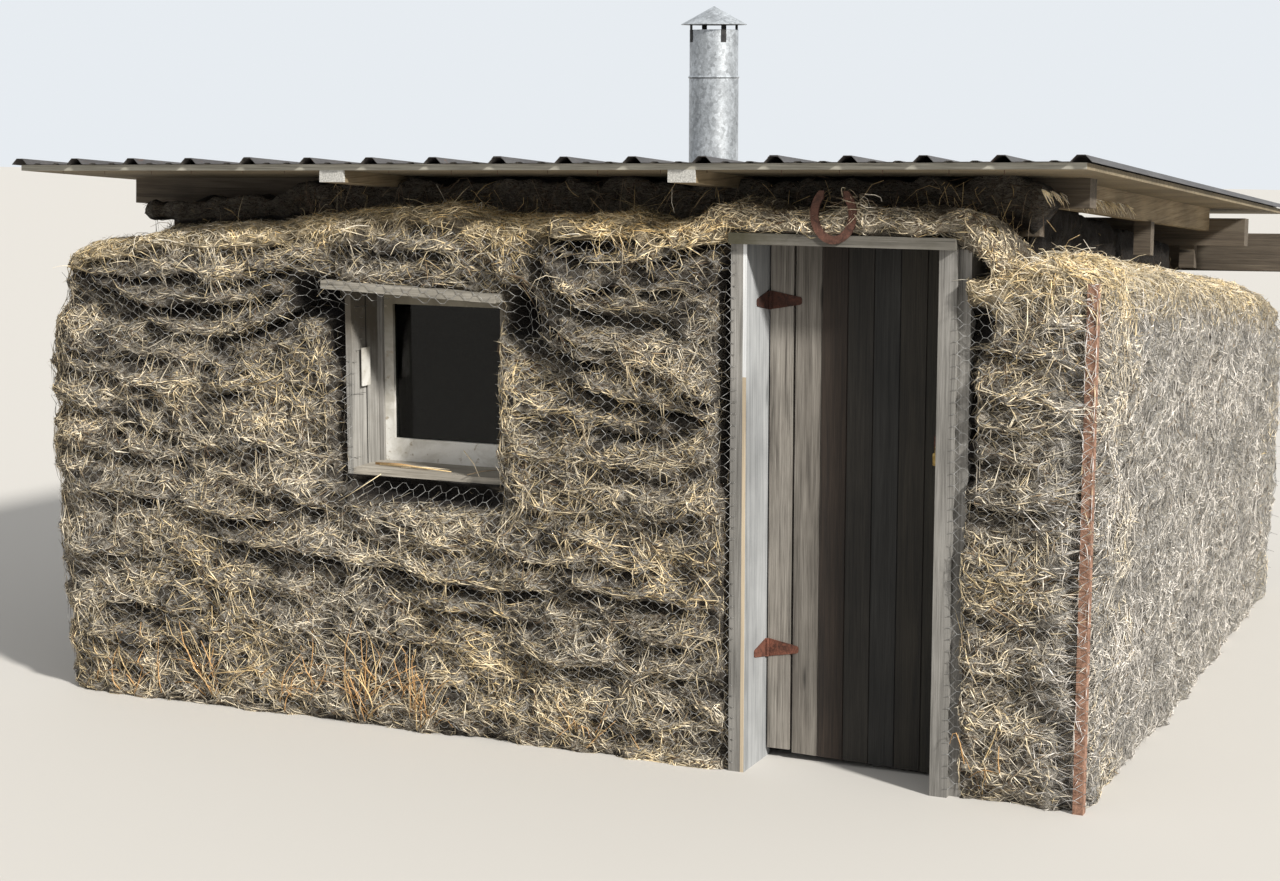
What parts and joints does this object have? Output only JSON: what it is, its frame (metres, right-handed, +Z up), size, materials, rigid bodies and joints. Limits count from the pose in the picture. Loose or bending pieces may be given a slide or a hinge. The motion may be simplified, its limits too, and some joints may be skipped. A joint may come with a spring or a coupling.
{
  "type": "turf house",
  "caption": "Small sod-walled house with a window, a plank door on strap hinges, a low ribbed steel shed roof and a stove pipe.",
  "frame": {"origin": "on the ground, under the middle of the roof", "axes": "+X to the right along the front wall seen from outside, +Y from the front wall to the back wall, +Z up"},
  "size_m": [3.8819, 3.7167, 2.466],
  "materials": {
    "turf": "dry fibrous sod, straw coloured on top",
    "grey_wood": "silver-grey weathered boards",
    "door_wood": "dark weathered boards",
    "roof_timber": "rough brown timber",
    "deck_wood": "weathered sheathing",
    "white_paint": "old white paint on wood",
    "window_glass": "dusty window glass",
    "roof_steel": "dark ribbed steel sheet",
    "galvanised": "spangled zinc",
    "rusty_steel": "red-brown rust",
    "brass": "tarnished brass"
  },
  "bodies": {
    "house": {"back_beam": "roof_timber", "chimney_cap": "galvanised", "chimney_cap_straps": "galvanised", "chimney_collar": "galvanised", "chimney_lower_pipe": "galvanised", "chimney_upper_pipe": "galvanised", "corner_stake": "rusty_steel", "cripple_posts": "roof_timber", "deck_left": "deck_wood", "deck_right": "deck_wood", "door_header": "grey_wood", "door_left_jamb": "grey_wood", "door_reveal_board": "grey_wood", "door_right_jamb": "grey_wood", "door_side_board": "grey_wood", "front_plate": "roof_timber", "hinge_jamb_flaps": "rusty_steel", "horseshoe": "rusty_steel", "rafters": "roof_timber", "rear_packers": "roof_timber", "rear_purlin": "roof_timber", "roof_sheet_1": "roof_steel", "roof_sheet_2": "roof_steel", "roof_sheet_3": "roof_steel", "roof_sheet_4": "roof_steel", "sash_rails": "white_paint", "sash_stiles": "white_paint", "turf_back_wall": "turf", "turf_front_left": "turf", "turf_left_wall": "turf", "turf_over_door": "turf", "turf_over_window": "turf", "turf_right_pier": "turf", "turf_right_wall": "turf", "turf_under_window": "turf", "turf_window_pier": "turf", "window_glass": "window_glass", "window_head_board": "grey_wood", "window_jambs": "grey_wood", "window_sill": "grey_wood", "window_stops": "grey_wood"},
    "door": {"door_leaf_boards": "door_wood", "door_ledges": "door_wood", "hinge_leaf_flaps": "rusty_steel", "door_hasp": "rusty_steel", "door_padlock": "brass"}
  },
  "joints": [
    {"name": "door_hinge", "type": "hinge", "parent": "house", "child": "door", "pos_m": [0.7705, -1.4865, 0.925], "axis": [0, 0, -1], "range_deg": [0, 85]}
  ]
}
